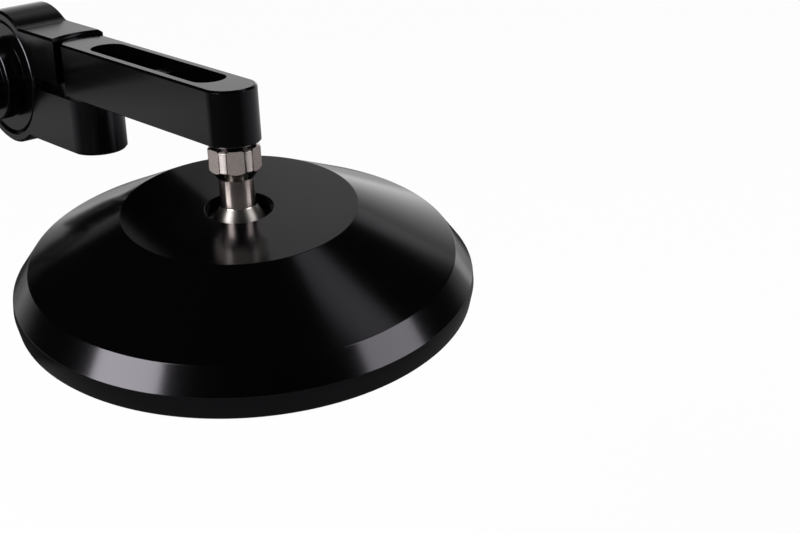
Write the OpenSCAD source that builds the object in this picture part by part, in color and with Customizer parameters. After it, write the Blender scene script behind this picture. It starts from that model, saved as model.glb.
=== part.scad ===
// Bar end mirror for a motorcycle: an expanding plug for the handlebar's bore, a split clamp,
// a folding arm, and a round mirror head on a ball stud.
// Frame: the origin is the centre of the plug's end face that meets the handlebar's end, +Y runs
// along the handlebar away from the grip, +X runs out along the arm, and the glass faces down.

/* [Plug] */
// Diameter of the boss whose end face meets the handlebar's end
boss_d = 20.7; // [19:0.1:24]
// Length of the boss, which keeps the clamp clear of the grip
boss_len = 4.8; // [4:0.1:9]
// Depth of the relief groove at the boss's root
relief_depth = 0.4; // [0.2:0.1:0.6]
// Width of that groove
relief_w = 1.2; // [0.8:0.1:1.6]
// Diameter of the collar that the clamp closes on
collar_d = 28.9; // [27:0.1:30]
// Length of the collar along the handlebar
collar_len = 13.4; // [12:0.1:17]
// Diameter of the pilot that enters the handlebar's bore
pilot_d = 15.8; // [15.4:0.1:18]
// Length of the pilot
pilot_len = 4; // [3:0.5:7]
// Diameter of the nose that carries the expander sleeve
nose_d = 12.6; // [12:0.1:13.4]
// Length of the straight part of the nose
nose_len = 4; // [3:0.5:6]
// Length of each wedge that spreads the expander sleeve
wedge_len = 5.5; // [4:0.5:7]
// Angle of each wedge's side from its axis
wedge_angle = 14; // [10:1:16]
// Clearance between a wedge and the mouth of the sleeve, square to the cone
wedge_gap = 0.05; // [0.02:0.01:0.1]
// Play between each end of the sleeve and the shoulder it faces
sleeve_play = 0.2; // [0.1:0.05:0.4]
// Diameter of the expander sleeve before it spreads
sleeve_d = 15.6; // [15:0.1:15.8]
// Length of the expander sleeve
sleeve_len = 27; // [22:1:36]
// Number of slots cut from each end of the sleeve
sleeve_slots = 3; // [2:1:4]
// Width of each slot in the sleeve
sleeve_slot_w = 1.4; // [0.8:0.1:2]
// Solid length left at the blind end of each slot
sleeve_slot_end = 6; // [4:0.5:8]
// Depth that the sleeve's rubber ring sits below the sleeve's surface
ring_sink = 0.1; // [0.05:0.05:0.3]
// Diameter of the cord of the sleeve's rubber ring
ring_wire_d = 1.4; // [1.2:0.1:1.6]
// Diameter of the wedge nut's flange
nut_flange_d = 15; // [13.8:0.1:15.4]
// Thickness of the wedge nut's flange
nut_flange_t = 2.5; // [2:0.5:4]

/* [Plug bolt] */
// Thread diameter of the plug bolt
bolt_d = 6; // [5:0.5:6]
// Distance from the boss's end face to the seat of the bolt's washer
bolt_seat = 9; // [7:0.5:10]
// Diameter of the plug bolt's head
bolt_head_d = 10; // [9.4:0.1:10.4]
// Height of the plug bolt's head
bolt_head_h = 6; // [5:0.5:6]
// Size of the hexagon key that turns the plug bolt
bolt_key = 5; // [4:0.5:5]
// Length of the thread that stands out of the wedge nut
bolt_stick_out = 2; // [1:0.5:4]
// Thickness of the washer under the plug bolt's head
bolt_washer_t = 1; // [0.6:0.1:1.6]
// Diameter of that washer
bolt_washer_d = 11; // [10.6:0.1:11.4]

/* [Clamp] */
// Width of the clamp along the handlebar
clamp_w = 14; // [12:0.5:17]
// Amount by which the clamp stands past the collar's face on the grip side
clamp_past = 0.3; // [0.1:0.1:0.8]
// Outer diameter of the clamp ring
ring_od = 34.2; // [33.5:0.1:36]
// Running clearance between the ring's bore and the collar, on the radius
ring_gap = 0.05; // [0.02:0.01:0.1]
// Chamfer round the ring's edges
ring_chamfer = 0.6; // [0.2:0.1:0.8]
// Height of the ear's flat top above the ring's axis
ear_top = 13.9; // [13:0.1:15]
// Height of the ear's underside above the ring's axis
ear_under = 2.5; // [2:0.1:3.6]
// Radius of the blend between the ring and the ear's top
ear_blend_r = 5; // [3:0.5:6]
// Radius of the ear's hollow end, seen from above
ear_end_r = 13; // [11:0.5:18]
// Depth of the tongue's underside below the ring's axis
tongue_under = 14; // [13.4:0.1:14.6]
// Depth of the tongue's top below the ring's axis
tongue_top = 0.3; // [0:0.1:0.5]
// Chamfer along the edges of the ear and the tongue
clamp_chamfer = 0.6; // [0.2:0.1:0.8]

/* [Pinch screw] */
// Distance of the pinch screw from the ring's axis
pinch_x = 21.6; // [21.2:0.1:21.9]
// Thread diameter of the pinch screw
pinch_d = 5; // [4:0.5:5]
// Diameter of the pinch screw's head
pinch_head_d = 8.5; // [7.6:0.1:8.7]
// Height of the pinch screw's head
pinch_head_h = 5; // [4:0.5:5]
// Size of the hexagon key that turns the pinch screw
pinch_key = 4; // [3:0.5:4]
// Length of the pinch screw's thread in the ear
pinch_thread_len = 7.5; // [6:0.5:8.5]
// Depth of the head's end below the tongue's underside
pinch_sink = 0.5; // [0.2:0.1:1]

/* [Pivot] */
// Distance of the folding pivot from the ring's axis
pivot_x = 33.2; // [32.8:0.1:36]
// Diameter of the pivot screw's shoulder
shoulder_d = 7.9; // [7.4:0.1:8.2]
// Thread diameter of the pivot screw
pivot_d = 6; // [5:0.5:6]
// Length of the pivot screw's thread in the arm
pivot_thread_len = 8.5; // [6:0.5:9.5]
// Diameter of the pivot screw's head
pivot_head_d = 9.8; // [9.4:0.1:10.2]
// Height of the pivot screw's head
pivot_head_h = 3.4; // [3:0.1:3.8]
// Size of the hexagon key that turns the pivot screw
pivot_key = 4; // [3:0.5:5]
// Depth of the pivot screw's head below the tongue's underside
pivot_sink = 0.9; // [0.4:0.1:1.4]
// Thickness of the flat washer on the pivot screw
pivot_washer_t = 0.8; // [0.5:0.1:1]
// Thickness of the sheet of the dished spring washer
dish_t = 0.5; // [0.3:0.1:0.6]
// Height that the dish of the spring washer adds
dish_rise = 0.3; // [0.2:0.05:0.5]
// Diameter of both pivot washers
pivot_washer_d = 10.5; // [10:0.1:10.7]
// Wall of the pivot bush
bush_wall = 1; // [0.8:0.1:1.2]
// Diameter of the bush's flange under the arm
bush_flange_d = 12; // [11.4:0.1:13]
// Thickness of the bush's flange
bush_flange_t = 0.3; // [0.2:0.1:1]

/* [Arm] */
// Distance from the folding pivot to the ball stud
arm_reach = 62.5; // [56:0.5:75]
// Width of the arm
arm_w = 12.6; // [11.6:0.1:13.4]
// Thickness of the arm
arm_t = 12.9; // [12:0.1:13.4]
// Chamfer round the arm's top edges
arm_chamfer = 0.5; // [0.2:0.1:0.8]
// Chamfer round the arm's bottom edges
arm_low_chamfer = 0.25; // [0.1:0.05:0.6]
// Radius of the arm's rounded end at the pivot
arm_end_r = 6.8; // [6.75:0.05:7.2]
// Gap between the arm's rounded end and the ear's hollow end
arm_end_gap = 0.4; // [0.3:0.05:0.8]
// Width of the pocket in the arm's top
pocket_w = 8.6; // [7.4:0.1:9]
// Distance from the pivot to the pocket's end
pocket_from_pivot = 5.4; // [5:0.1:8]
// Distance from the ball stud to the pocket's end
pocket_from_stud = 4.4; // [4.2:0.1:8]
// Depth of the pocket
pocket_depth = 8.5; // [6:0.5:9.5]
// Distance from the ball stud to the middle of the pocket's bridge
bridge_from_stud = 29.6; // [24:0.1:34]
// Width of the bridge across the pocket
bridge_w = 4.7; // [3:0.1:7]
// Depth of the bridge's top below the arm's top
bridge_sink = 2.1; // [1:0.1:3.5]
// Radius of the pocket's corners beside the bridge
bridge_corner_r = 2; // [1:0.1:3.5]

/* [Ball stud] */
// Size of the stud's hexagon across its flats
hex_af = 11; // [10:0.1:11.4]
// Diameter of the round collar that the hexagon's flats are milled on
hex_od = 11.8; // [11.6:0.1:12.6]
// Distance from the arm down to the lower end of the flats
hex_h = 6.4; // [5:0.1:8]
// Angle of the hexagon's turn about the stud
hex_turn = 0; // [-30:1:30]
// Angle of the bevel under the hexagon from the stud's axis
hex_bevel = 38; // [30:1:50]
// Angle of the bevel over the hexagon from the stud's axis
hex_top_bevel = 54; // [30:1:60]
// Diameter of the round face that meets the arm
stud_face_d = 10; // [9:0.1:10.4]
// Height of that round face above the hexagon's upper bevel
stud_face_h = 0.6; // [0.3:0.1:1]
// Diameter of the stud's thread in the arm
stud_thread_d = 6; // [5:0.5:6]
// Length of the stud's thread in the arm
stud_thread_len = 9; // [7:0.5:10]
// Diameter of the stud's shank
shank_d = 8; // [7.4:0.1:8.4]
// Depth of the ball's centre below the arm
ball_drop = 23.1; // [22:0.1:26]
// Diameter of the ball
ball_d = 16; // [15:0.1:17]
// Angle of the cone between shank and ball from the stud's axis
flare_angle = 34; // [30:1:40]

/* [Ball joint] */
// Tilt of the head about the arm's length in the photographed pose
tilt_x = 4.6; // [-14:0.1:14]
// Tilt of the head about the line across the arm in the photographed pose
tilt_y = 8.4; // [-14:0.1:14]
// Running clearance between each two ball surfaces, on the radius
ball_gap = 0.05; // [0.03:0.01:0.1]
// Thickness of the two plastic liners round the ball
liner_t = 0.95; // [0.7:0.05:1.2]
// Angle from the ball's top to the upper edge of the upper liner
upper_liner_from_angle = 66; // [65:1:70]
// Angle from the ball's top to the lower edge of the upper liner
upper_liner_to_angle = 82; // [78:1:82]
// Angle from the ball's top to the upper edge of the lower liner
lower_liner_from_angle = 99; // [98:1:102]
// Angle from the ball's top to the lower edge of the lower liner
lower_liner_to_angle = 158; // [140:1:164]
// Diameter of the seat cup
cup_d = 22.8; // [21.6:0.1:24]
// Clearance round the seat cup, on the radius
cup_gap = 0.1; // [0.05:0.05:0.3]
// Depth of the seat cup's upper edge below the ball's centre
cup_top = 1.2; // [1:0.1:2]
// Thickness of the seat cup under the ball
cup_floor = 0.7; // [0.6:0.1:1.2]
// Thickness of the sheet of the dished spring under the seat cup
seat_spring_t = 0.5; // [0.3:0.1:0.7]
// Height that the dish of that spring adds
seat_spring_rise = 0.5; // [0.3:0.1:0.8]
// Width of that spring's sheet from its inner to its outer edge
seat_spring_w = 4; // [3:0.1:5]
// Thickness of the retaining plate
plate_t = 1.2; // [1:0.1:1.4]
// Distance of the plate's screws from the ball joint's axis
plate_screw_r = 14; // [13.6:0.1:14.6]
// Thread diameter of the plate's screws
plate_screw_d = 2.5; // [2:0.1:2.5]
// Length of the plate's screws
plate_screw_len = 6; // [5:0.5:8]
// Number of screws in the plate
plate_screws = 3; // [3:1:6]

/* [Head] */
// Outer diameter of the mirror head
head_d = 104; // [100:0.5:112]
// Width of the bevel round the cone, on the radius
bevel_w = 3.8; // [3:0.1:5.5]
// Diameter of the flat on the head's back
flat_d = 53.2; // [46:0.2:60]
// Diameter of the stud's hole in the flat
head_hole_d = 15.4; // [14.9:0.1:15.6]
// Height of the flat above the ball's centre
flat_up = 8.2; // [7.8:0.1:8.4]
// Depth of the bevel's upper edge below the ball's centre
bevel_down = 3.5; // [2.5:0.1:5]
// Depth of the widest edge below the ball's centre
rim_down = 9; // [8:0.1:10]
// Depth of the head's lip below the ball's centre
lip_down = 14.6; // [14.5:0.1:16]
// Amount by which the rim narrows towards the lip, on the radius
rim_draft = 1; // [0.4:0.1:1.4]
// Chamfer on the lip
lip_chamfer = 0.5; // [0.3:0.1:0.6]
// Wall of the turned housing
wall = 2.4; // [2:0.1:3]
// Wall of the hub round the ball joint, outside the cup's bore
hub_wall = 5; // [4.6:0.1:6]
// Width of the step that the glass is taped to
tape_w = 4.6; // [3:0.1:6]
// Thickness of the tape ring
tape_t = 0.8; // [0.5:0.1:1.2]

/* [Glass] */
// Wall that stands round the glass at the lip
lip_w = 1.4; // [1.2:0.1:2.4]
// Clearance round the glass, on the radius
glass_gap = 0.3; // [0.1:0.05:0.5]
// Thickness of the mirror glass
glass_t = 2; // [1.6:0.1:2.2]
// Radius of curvature of the mirror's face
glass_curve_r = 1200; // [1000:50:1800]

/* [Hidden] */
$fn = 128;
cut = 1;
tap_gap = 0.05;
screw_gap = 0.25;
head_gap = 0.35;
key_depth = 0.5;

collar_r = collar_d / 2;
pilot_r = pilot_d / 2;
nose_r = nose_d / 2;
sleeve_r = sleeve_d / 2;
sleeve_from = pilot_len + nose_len + sleeve_play;
sleeve_to = sleeve_from + sleeve_len;
wedge_tip_r = nose_r - wedge_len * tan(wedge_angle);
sleeve_taper = wedge_len - sleeve_play;
mouth_r = nose_r - sleeve_play * tan(wedge_angle) + wedge_gap / cos(wedge_angle);
sleeve_bore_r = wedge_tip_r + wedge_gap / cos(wedge_angle);
bolt_r = bolt_d / 2;
boss_r = boss_d / 2;
bolt_head_from = bolt_seat + bolt_washer_t;
plug_end = boss_len + collar_len;

ring_r = ring_od / 2;
ring_bore_r = collar_r + ring_gap;
clamp_from = boss_len - clamp_past;
mid_y = clamp_from + clamp_w / 2;
blend_x = sqrt(pow(ring_r + ear_blend_r, 2) - pow(ear_top + ear_blend_r, 2));
blend_t = ring_r / (ring_r + ear_blend_r);
ear_end_x = pivot_x - arm_end_r - arm_end_gap;
pinch_r = pinch_d / 2;
pinch_head_top = -tongue_under + pinch_sink + pinch_head_h;

arm_z = bush_flange_t - tongue_top;
arm_top = arm_z + arm_t;
stud_x = pivot_x + arm_reach;
pivot_r = pivot_d / 2;
shoulder_r = shoulder_d / 2;
pivot_head_top = -tongue_under + pivot_sink + pivot_head_h;
pivot_seat = pivot_head_top + dish_t + dish_rise + pivot_washer_t;
bush_bore_r = shoulder_r + tap_gap;
bush_r = bush_bore_r + bush_wall;
pivot_washer_r = pivot_washer_d / 2;

pocket_from = pivot_x + pocket_from_pivot;
pocket_to = stud_x - pocket_from_stud;
bridge_x = stud_x - bridge_from_stud;

shank_r = shank_d / 2;
ball_r = ball_d / 2;
ball_z = arm_z - ball_drop;
hex_r = hex_od / 2;
stud_face_r = stud_face_d / 2;
flare_r = ball_r * cos(flare_angle);
flare_z = ball_r * sin(flare_angle);
flare_top = flare_z + (flare_r - shank_r) / tan(flare_angle);

liner_r = ball_r + ball_gap;
liner_out_r = liner_r + liner_t;
seat_r = liner_out_r + ball_gap;
cup_r = cup_d / 2;
cup_bore_r = cup_r + cup_gap;
cup_bottom = seat_r + cup_floor;
plate_top = cup_bottom + seat_spring_t + seat_spring_rise;
plate_bottom = plate_top + plate_t;
hub_r = cup_bore_r + hub_wall;
plate_screw_head_r = plate_screw_d * 0.9;

head_r = head_d / 2;
bevel_r = head_r - bevel_w;
flat_r = flat_d / 2;
recess_r = head_r - rim_draft - lip_w;
glass_r = recess_r - glass_gap;
glass_sag = glass_curve_r - sqrt(pow(glass_curve_r, 2) - pow(glass_r, 2));
glass_back = lip_down - glass_sag - glass_t;
tape_top = glass_back - tape_t;
step_r = recess_r - tape_w;
cone_slope = (flat_up + bevel_down) / (bevel_r - flat_r);
cone_drop = wall * sqrt(1 + pow(cone_slope, 2));

// Turns a shape that is drawn along +Z so that it runs along -Y, towards the grip
module towards_grip() {
    rotate([90, 0, 0]) children();
}

// Puts a shape on the middle plane of the clamp and the arm
module on_arm_plane(x, z) {
    translate([x, mid_y, z]) children();
}

// Carries a shape from the ball's own frame to the head in its photographed tilt
module in_head() {
    on_arm_plane(stud_x, ball_z) rotate([tilt_x, tilt_y, 0]) children();
}

// The upper liner follows the tilt across the arm only
module in_upper_liner() {
    on_arm_plane(stud_x, ball_z) rotate([0, tilt_y, 0]) children();
}

// A cylinder between two heights with a chamfer on each end
module chamfered_cylinder(r, z0, z1, c_low, c_top) {
    rotate_extrude() polygon([
        [0, z0], [r - c_low, z0], [r, z0 + c_low], [r, z1 - c_top], [r - c_top, z1], [0, z1]
    ]);
}

// A bar along X with chamfers on its four long edges
module chamfered_bar(x0, x1, w, z0, z1, c_low, c_top) {
    translate([x0, 0, 0]) rotate([90, 0, 90]) linear_extrude(x1 - x0) polygon([
        [-w / 2 + c_low, z0], [w / 2 - c_low, z0], [w / 2, z0 + c_low], [w / 2, z1 - c_top],
        [w / 2 - c_top, z1], [-w / 2 + c_top, z1], [-w / 2, z1 - c_top], [-w / 2, z0 + c_low]
    ]);
}

// A socket head screw along +Z: its head ends at z = 0 and its thread runs upwards
module socket_screw(d, len, head_d, head_h, key) {
    c = 0.4;
    difference() {
        union() {
            translate([0, 0, -head_h]) chamfered_cylinder(head_d / 2, 0, head_h, c, c);
            chamfered_cylinder(d / 2 - tap_gap, -c, len, c, c);
        }
        translate([0, 0, -head_h - cut]) cylinder(h = head_h * key_depth + cut, r = key / sqrt(3), $fn = 6);
    }
}

// A spherical shell between two angles measured from its top
module ball_shell(r_in, r_out, from_angle, to_angle) {
    reach = r_out * 2;
    rotate_extrude() intersection() {
        difference() {
            circle(r = r_out);
            circle(r = r_in);
        }
        polygon([
            [0, 0],
            [reach * sin(from_angle), reach * cos(from_angle)],
            [reach, reach * cos(from_angle)],
            [reach, reach * cos(to_angle)],
            [reach * sin(to_angle), reach * cos(to_angle)]
        ]);
    }
}

module bar_plug() {
    c = 0.5;
    tip = pilot_len + nose_len + wedge_len;
    color("#1b1b1d") difference() {
        towards_grip() rotate_extrude() polygon([
            [0, -plug_end], [collar_r - c, -plug_end], [collar_r, -plug_end + c],
            [collar_r, -boss_len - c], [collar_r - c, -boss_len], [boss_r - relief_depth, -boss_len],
            [boss_r - relief_depth, relief_w - boss_len], [boss_r, relief_w - boss_len],
            [boss_r, -c / 2], [boss_r - c / 2, 0], [pilot_r, 0],
            [pilot_r, pilot_len - c], [pilot_r - c, pilot_len], [nose_r, pilot_len],
            [nose_r, pilot_len + nose_len], [wedge_tip_r, tip], [0, tip]
        ]);
        towards_grip() translate([0, 0, -plug_end - cut])
            cylinder(h = plug_end + tip + 2 * cut, r = bolt_r + screw_gap);
        towards_grip() translate([0, 0, -plug_end - cut])
            cylinder(h = plug_end - bolt_seat + cut, r = bolt_washer_d / 2 + head_gap);
    }
}

// The groove is as wide as the ring's cord and open to the outside
module ring_groove() {
    cord_r = ring_wire_d / 2 + tap_gap;
    translate([sleeve_r - ring_sink - ring_wire_d / 2, (sleeve_from + sleeve_to) / 2]) {
        circle(r = cord_r, $fn = 32);
        translate([0, -cord_r]) square([ring_wire_d + cut, 2 * cord_r]);
    }
}

// The sleeve is cut by slots that start from its two ends in turn, so it can spread
module expander_sleeve() {
    color("#b9b4b1") towards_grip() difference() {
        rotate_extrude() difference() {
            polygon([
                [mouth_r, sleeve_from], [sleeve_r, sleeve_from], [sleeve_r, sleeve_to], [mouth_r, sleeve_to],
                [sleeve_bore_r, sleeve_to - sleeve_taper], [sleeve_bore_r, sleeve_from + sleeve_taper]
            ]);
            ring_groove();
        }
        for (i = [0 : sleeve_slots - 1]) {
            rotate([0, 0, i * 360 / sleeve_slots])
                translate([0, -sleeve_slot_w / 2, sleeve_from - cut])
                cube([sleeve_d, sleeve_slot_w, sleeve_len - sleeve_slot_end + cut]);
            rotate([0, 0, (i + 0.5) * 360 / sleeve_slots])
                translate([0, -sleeve_slot_w / 2, sleeve_from + sleeve_slot_end])
                cube([sleeve_d, sleeve_slot_w, sleeve_len - sleeve_slot_end + cut]);
        }
    }
}

module sleeve_ring() {
    color("#202022") towards_grip() translate([0, 0, (sleeve_from + sleeve_to) / 2])
        rotate_extrude() translate([sleeve_r - ring_sink - ring_wire_d / 2, 0])
        circle(d = ring_wire_d, $fn = 32);
}

module wedge_nut() {
    tip = sleeve_to + sleeve_play;
    color("#a9a6a2") towards_grip() difference() {
        rotate_extrude() polygon([
            [0, tip - wedge_len], [wedge_tip_r, tip - wedge_len], [nose_r, tip],
            [nut_flange_d / 2, tip], [nut_flange_d / 2, tip + nut_flange_t - 0.4],
            [nut_flange_d / 2 - 0.4, tip + nut_flange_t], [0, tip + nut_flange_t]
        ]);
        translate([0, 0, tip - wedge_len - cut])
            cylinder(h = wedge_len + nut_flange_t + 2 * cut, r = bolt_r);
    }
}

module plug_bolt() {
    reach = bolt_head_from + sleeve_to + sleeve_play + nut_flange_t + bolt_stick_out;
    color("#8d8b88") translate([0, bolt_head_from, 0]) towards_grip()
        socket_screw(bolt_d, reach, bolt_head_d, bolt_head_h, bolt_key);
}

module bolt_washer() {
    color("#9a9895") translate([0, bolt_head_from, 0]) towards_grip() difference() {
        cylinder(h = bolt_washer_t, d = bolt_washer_d);
        translate([0, 0, -cut]) cylinder(h = bolt_washer_t + 2 * cut, r = bolt_r + screw_gap);
    }
}

// The blend between the ring and the ear, drawn from the side
module ear_blend() {
    difference() {
        polygon([
            [blend_x * blend_t, (ear_top + ear_blend_r) * blend_t],
            [blend_x, ear_top + ear_blend_r],
            [blend_x, ear_top],
            [blend_x, ear_top - 1],
            [blend_x * blend_t - 1, ear_top - 1]
        ]);
        translate([blend_x, ear_top + ear_blend_r]) circle(r = ear_blend_r);
    }
}

module clamp_body() {
    ear_corner_x = ear_end_x + ear_end_r - sqrt(pow(ear_end_r, 2) - pow(clamp_w / 2, 2));
    ear_mid_x = ear_end_x + ear_end_r;
    c = clamp_chamfer;
    color("#1b1b1d") difference() {
        union() {
            on_arm_plane(0, 0) rotate([90, 0, 0])
                chamfered_cylinder(ring_r, -clamp_w / 2, clamp_w / 2, ring_chamfer, ring_chamfer);
            on_arm_plane(0, 0) rotate([90, 0, 0]) translate([0, 0, -clamp_w / 2 + c])
                linear_extrude(clamp_w - 2 * c) ear_blend();
            on_arm_plane(0, 0) difference() {
                chamfered_bar(blend_x * blend_t, ear_corner_x + cut, clamp_w, ear_under, ear_top, 0, c);
                translate([ear_mid_x, 0, ear_under - cut])
                    cylinder(h = ear_top - ear_under + 2 * cut, r = ear_end_r);
                translate([ear_mid_x, 0, ear_top - c])
                    cylinder(h = c + cut, r1 = ear_end_r, r2 = ear_end_r + c + cut);
            }
            on_arm_plane(0, 0) {
                chamfered_bar(0, pivot_x, clamp_w, -tongue_under, -tongue_top, c, 0);
                translate([pivot_x, 0, 0]) rotate_extrude() polygon([
                    [0, -tongue_under], [clamp_w / 2 - c, -tongue_under], [clamp_w / 2, -tongue_under + c],
                    [clamp_w / 2, -tongue_top], [0, -tongue_top]
                ]);
            }
        }
        on_arm_plane(0, 0) rotate([90, 0, 0]) rotate_extrude() polygon([
            [0, -clamp_w / 2 - cut], [ring_bore_r + ring_chamfer + cut, -clamp_w / 2 - cut],
            [ring_bore_r, -clamp_w / 2 + ring_chamfer], [ring_bore_r, clamp_w / 2 - ring_chamfer],
            [ring_bore_r + ring_chamfer + cut, clamp_w / 2 + cut], [0, clamp_w / 2 + cut]
        ]);
        translate([0, clamp_from - cut, -tongue_top])
            cube([pivot_x + clamp_w, clamp_w + 2 * cut, ear_under + tongue_top]);
        on_arm_plane(pinch_x, -tongue_under - cut)
            cylinder(h = pinch_head_top + tongue_under + cut, r = pinch_head_d / 2 + head_gap);
        on_arm_plane(pinch_x, -tongue_under)
            cylinder(h = tongue_under, r = pinch_r + screw_gap);
        on_arm_plane(pinch_x, ear_under - cut)
            cylinder(h = pinch_thread_len + 1 + cut, r = pinch_r);
        on_arm_plane(pivot_x, -tongue_under - cut)
            cylinder(h = pivot_seat + tongue_under + cut, r = pivot_washer_r + head_gap);
        on_arm_plane(pivot_x, -tongue_under)
            cylinder(h = tongue_under, r = bush_r);
    }
}

module pinch_screw() {
    reach = ear_under + pinch_thread_len - pinch_head_top;
    color("#2a2a2c") on_arm_plane(pinch_x, pinch_head_top)
        socket_screw(pinch_d, reach, pinch_head_d, pinch_head_h, pinch_key);
}

module pivot_bush() {
    color("#2b2b2d") on_arm_plane(pivot_x, 0) rotate_extrude() polygon([
        [bush_bore_r, pivot_seat], [bush_r, pivot_seat], [bush_r, -tongue_top],
        [bush_flange_d / 2, -tongue_top], [bush_flange_d / 2, arm_z], [bush_bore_r, arm_z]
    ]);
}

// One pocket beside the bridge: round at the arm's end, with small corners at the bridge
module half_pocket(end_x, side, len) {
    translate([end_x, 0]) scale([side, 1]) union() {
        translate([pocket_w / 2, 0]) circle(d = pocket_w);
        translate([pocket_w / 2, -pocket_w / 2])
            square([len - pocket_w / 2 - bridge_corner_r, pocket_w]);
        translate([pocket_w / 2, -pocket_w / 2 + bridge_corner_r])
            square([len - pocket_w / 2, pocket_w - 2 * bridge_corner_r]);
        for (s = [-1, 1])
            translate([len - bridge_corner_r, s * (pocket_w / 2 - bridge_corner_r)])
                circle(r = bridge_corner_r);
    }
}

module arm_pocket() {
    floor_z = arm_top - pocket_depth;
    translate([0, 0, floor_z]) linear_extrude(pocket_depth + cut) {
        half_pocket(pocket_from, 1, bridge_x - bridge_w / 2 - pocket_from);
        half_pocket(pocket_to, -1, pocket_to - bridge_x - bridge_w / 2);
    }
    translate([0, 0, arm_top - bridge_sink]) linear_extrude(bridge_sink + cut)
        translate([pocket_from + pocket_w / 2, -pocket_w / 2])
        square([pocket_to - pocket_from - pocket_w, pocket_w]);
}

module arm() {
    color("#1b1b1d") on_arm_plane(0, 0) difference() {
        union() {
            intersection() {
                translate([pivot_x, 0, 0])
                    chamfered_cylinder(arm_end_r, arm_z, arm_top, arm_low_chamfer, arm_chamfer);
                chamfered_bar(pivot_x - arm_end_r, pivot_x + arm_end_r, arm_w, arm_z, arm_top,
                    arm_low_chamfer, arm_chamfer);
            }
            chamfered_bar(pivot_x, stud_x, arm_w, arm_z, arm_top, arm_low_chamfer, arm_chamfer);
            translate([stud_x, 0, 0])
                chamfered_cylinder(arm_w / 2, arm_z, arm_top, arm_low_chamfer, arm_chamfer);
        }
        arm_pocket();
        translate([pivot_x, 0, arm_z - cut]) cylinder(h = pivot_thread_len + 1 + cut, r = pivot_r);
        translate([stud_x, 0, arm_z - cut]) cylinder(h = stud_thread_len + 1 + cut, r = stud_thread_d / 2);
    }
}

module pivot_screw() {
    c = 0.4;
    color("#8d8b88") on_arm_plane(pivot_x, 0) difference() {
        rotate_extrude() polygon([
            [0, pivot_head_top - pivot_head_h], [pivot_head_d / 2 - c, pivot_head_top - pivot_head_h],
            [pivot_head_d / 2, pivot_head_top - pivot_head_h + c], [pivot_head_d / 2, pivot_head_top],
            [shoulder_r, pivot_head_top], [shoulder_r, arm_z], [pivot_r - tap_gap, arm_z],
            [pivot_r - tap_gap, arm_z + pivot_thread_len - c], [pivot_r - tap_gap - c, arm_z + pivot_thread_len],
            [0, arm_z + pivot_thread_len]
        ]);
        translate([0, 0, pivot_head_top - pivot_head_h - cut])
            cylinder(h = pivot_head_h * key_depth + cut, r = pivot_key / sqrt(3), $fn = 6);
    }
}

module pivot_washer() {
    color("#9a9895") on_arm_plane(pivot_x, pivot_seat - pivot_washer_t) difference() {
        cylinder(h = pivot_washer_t, r = pivot_washer_r);
        translate([0, 0, -cut]) cylinder(h = pivot_washer_t + 2 * cut, r = bush_bore_r);
    }
}

// A dished washer: its inner edge sits on the screw's head and its outer edge on the flat washer
module spring_washer() {
    color("#7d7b78") on_arm_plane(pivot_x, pivot_head_top) rotate_extrude() polygon([
        [bush_bore_r, 0], [pivot_washer_r, dish_rise], [pivot_washer_r, dish_rise + dish_t],
        [bush_bore_r, dish_t]
    ]);
}

// The stud is turned and milled from one bar: thread, round face, six flats, shank, flare and ball
module ball_stud() {
    hex_low = arm_z - hex_h;
    hex_high = arm_z - stud_face_h;
    shank_z = hex_low - (hex_af / 2 - shank_r) / tan(hex_bevel);
    c = 0.5;
    color("#a5a19d") on_arm_plane(stud_x, 0) {
        chamfered_cylinder(stud_thread_d / 2 - tap_gap, arm_z - cut, arm_z + stud_thread_len, c, c);
        intersection() {
            rotate([0, 0, hex_turn]) translate([0, 0, shank_z - cut])
                cylinder(h = arm_z - shank_z + 2 * cut, r = hex_af / 2 / cos(30), $fn = 6);
            rotate_extrude() polygon([
                [0, arm_z], [stud_face_r, arm_z], [stud_face_r, hex_high],
                [hex_r, hex_high - (hex_r - stud_face_r) / tan(hex_top_bevel)],
                [hex_r, hex_low + (hex_r - hex_af / 2) / tan(hex_bevel)], [shank_r, shank_z], [0, shank_z]
            ]);
        }
        rotate_extrude() polygon([
            [0, ball_z], [flare_r, ball_z + flare_z], [shank_r, ball_z + flare_top], [shank_r, hex_low],
            [0, hex_low]
        ]);
        translate([0, 0, ball_z]) sphere(r = ball_r);
    }
}

module upper_liner() {
    color("#e6e2d8") in_upper_liner()
        ball_shell(liner_r, liner_out_r, upper_liner_from_angle, upper_liner_to_angle);
}

module lower_liner() {
    color("#e6e2d8") in_head()
        ball_shell(liner_r, liner_out_r, lower_liner_from_angle, lower_liner_to_angle);
}

// The turned outline of the housing, from the stud's hole to the step for the glass
module housing_section() {
    lip_r = head_r - rim_draft;
    inner_r = step_r;
    inner_h = flat_up - wall - (inner_r - flat_r) * cone_slope - (cone_drop - wall);
    flat_inner_r = flat_r - (cone_drop - wall) / cone_slope;
    polygon([
        [head_hole_d / 2, flat_up], [flat_r, flat_up], [bevel_r, -bevel_down], [head_r, -rim_down],
        [lip_r, -lip_down + lip_chamfer], [lip_r - lip_chamfer, -lip_down], [recess_r, -lip_down],
        [recess_r, -tape_top], [inner_r, -tape_top], [inner_r, inner_h],
        [flat_inner_r, flat_up - wall], [hub_r, flat_up - wall], [hub_r, -plate_top],
        [cup_bore_r, -plate_top], [cup_bore_r, -cup_top / 2], [head_hole_d / 2, -cup_top / 2]
    ]);
}

module housing() {
    color("#1b1b1d") in_head() difference() {
        rotate_extrude($fn = 192) housing_section();
        sphere(r = seat_r);
        translate([0, 0, -seat_r]) cylinder(h = seat_r, r = seat_r);
        for (i = [0 : plate_screws - 1])
            rotate([0, 0, i * 360 / plate_screws]) translate([plate_screw_r, 0, -plate_top - cut])
                cylinder(h = plate_screw_len - plate_t + 1 + cut, r = plate_screw_d / 2, $fn = 32);
    }
}

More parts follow.
